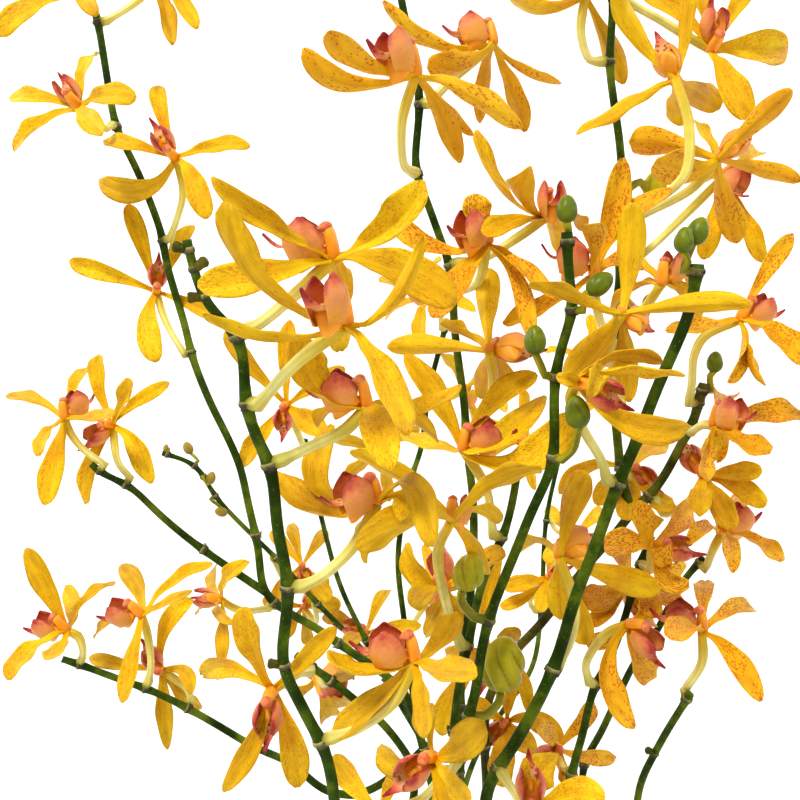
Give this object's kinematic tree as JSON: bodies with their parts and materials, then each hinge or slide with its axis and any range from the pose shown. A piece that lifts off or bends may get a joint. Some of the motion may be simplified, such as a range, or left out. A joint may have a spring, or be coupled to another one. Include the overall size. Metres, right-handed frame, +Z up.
{
  "type": "potted orchid",
  "caption": "Potted aranthera orchid: leafy canes in a clay pot, with branched sprays of narrow-petalled golden yellow flowers.",
  "frame": {"origin": "centre of the flat underside of the pot", "axes": "+Z up; -Y towards the viewer of the picture; +X to that viewer's right"},
  "size_m": [0.384, 0.4366, 0.9678],
  "materials": {
    "clay": "matt fired clay",
    "bark": "coarse bark and charcoal",
    "cane": "smooth green cane with dry sheaths",
    "leaf": "leathery, softly glossy",
    "stalk": "smooth dark green stalk, yellow far flowers and green buds",
    "petal": "waxy golden yellow with orange-brown spots, salmon pink lip"
  },
  "bodies": {
    "root": {"pot": "clay", "potting_mix": "bark", "cane_1": "cane", "cane_2": "cane", "cane_3": "cane", "leaf_1_1": "leaf", "leaf_1_2": "leaf", "leaf_1_3": "leaf", "leaf_1_4": "leaf", "leaf_1_5": "leaf", "leaf_1_6": "leaf", "leaf_2_1": "leaf", "leaf_2_2": "leaf", "leaf_2_3": "leaf", "leaf_2_4": "leaf", "leaf_2_5": "leaf", "leaf_3_1": "leaf", "leaf_3_2": "leaf", "leaf_3_3": "leaf", "leaf_3_4": "leaf", "leaf_3_5": "leaf", "spray_back": "stalk", "spray_front": "stalk", "spray_left": "stalk", "spray_middle": "stalk", "spray_right": "stalk", "spray_right_back": "stalk", "spray_right_low": "stalk", "flower_02": "petal", "flower_03": "petal", "flower_04": "petal", "flower_05": "petal", "flower_06": "petal", "flower_07": "petal", "flower_08": "petal", "flower_09": "petal", "flower_10": "petal", "flower_11": "petal", "flower_12": "petal", "flower_13": "petal", "flower_14": "petal", "flower_15": "petal", "flower_17": "petal", "flower_18": "petal", "flower_19": "petal", "flower_20": "petal", "flower_21": "petal", "flower_22": "petal", "flower_23": "petal", "flower_24": "petal", "flower_25": "petal", "flower_26": "petal", "flower_27": "petal", "flower_29": "petal", "flower_30": "petal", "flower_31": "petal", "flower_32": "petal", "flower_33": "petal", "flower_34": "petal", "flower_39": "petal"}
  },
  "joints": []
}
